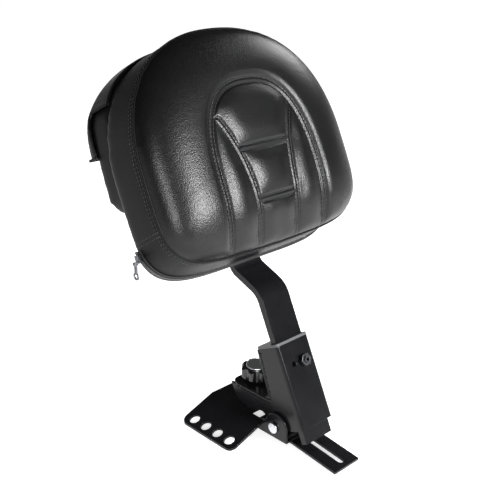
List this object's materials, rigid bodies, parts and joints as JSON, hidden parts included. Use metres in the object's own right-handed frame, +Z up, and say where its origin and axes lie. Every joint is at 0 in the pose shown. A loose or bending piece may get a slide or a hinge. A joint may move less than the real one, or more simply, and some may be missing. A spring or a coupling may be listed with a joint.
{
  "type": "motorcycle driver backrest",
  "caption": "Upholstered driver backrest with rear pouch on a cranked flat bar that slides in a tilting steel receiver hinged to a slotted, flanged base.",
  "frame": {"origin": "middle of the strap's flat underside, straight below the pivot pin", "axes": "+Z up, -Y towards the front of the pad, +X to the pad's right as seen from the front"},
  "size_m": [0.2972, 0.2886, 0.457],
  "materials": {
    "black_steel": "gloss black powder coat",
    "bright_zinc": "bright zinc plate",
    "black_oxide": "black oxide, worn bright at edges",
    "bush_plastic": "dark grey nylon",
    "knob_plastic": "gloss black",
    "cap_chrome": "polished",
    "foot_rubber": "matt",
    "plywood": "bare",
    "foam": "open-cell foam",
    "faux_leather": "fine grain, satin",
    "pouch_cloth": "smooth satin",
    "zip_cloth": "woven tape",
    "zip_plastic": "moulded teeth",
    "gunmetal": "dark nickel"
  },
  "bodies": {
    "base": {"slotted_tongue": "black_steel", "hinge_channel": "black_steel", "saddle_plate": "black_steel", "pivot_pin": "bright_zinc", "pin_clip": "bright_zinc", "pivot_washers": "bush_plastic"},
    "tilt_bracket": {"receiver_channel": "black_steel", "v_plate": "black_steel", "weld_beads": "black_steel", "upper_guide_bush": "bush_plastic", "lower_guide_bush": "bush_plastic", "clamp_screw": "black_oxide", "lock_nut": "black_oxide", "weld_nut": "black_oxide"},
    "adjuster": {"adjuster_knob": "knob_plastic", "knob_cap": "cap_chrome", "adjuster_stud": "bright_zinc", "adjuster_foot": "foot_rubber"},
    "support": {"support_bar": "black_steel", "bar_bolts": "black_oxide", "tee_nuts": "bright_zinc", "backing_board": "plywood", "foam_core": "foam", "front_cover": "faux_leather", "side_boxing": "faux_leather", "back_panel": "faux_leather", "seam_piping": "faux_leather", "pouch_body": "pouch_cloth", "pouch_flap": "pouch_cloth", "flap_hem_piping": "faux_leather", "zip_tape": "zip_cloth", "zip_chain": "zip_plastic", "zip_slider": "gunmetal"},
    "zip_pull": {"zip_pull": "gunmetal"}
  },
  "joints": [
    {"name": "tilt", "type": "hinge", "parent": "base", "child": "tilt_bracket", "pos_m": [0, 0, 0.017], "axis": [1, 0, 0], "range_deg": [0, 8]},
    {"name": "height", "type": "slide", "parent": "tilt_bracket", "child": "support", "axis": [0, 0.4258, 0.9048], "range_m": [0, 0.045]},
    {"name": "adjuster_turn", "type": "hinge", "parent": "tilt_bracket", "child": "adjuster", "pos_m": [0, 0.057, 0.044], "axis": [0, 0, 1], "range_deg": [-2300, 0]},
    {"name": "zip_pull_swing", "type": "hinge", "parent": "support", "child": "zip_pull", "pos_m": [-0.14943, 0.08354, 0.22749], "axis": [0, 0.9048, -0.4258], "range_deg": [-10, 110]}
  ],
  "couplings": [
    {"joint": "adjuster_turn", "follows": "tilt", "ratio": -286.51}
  ]
}
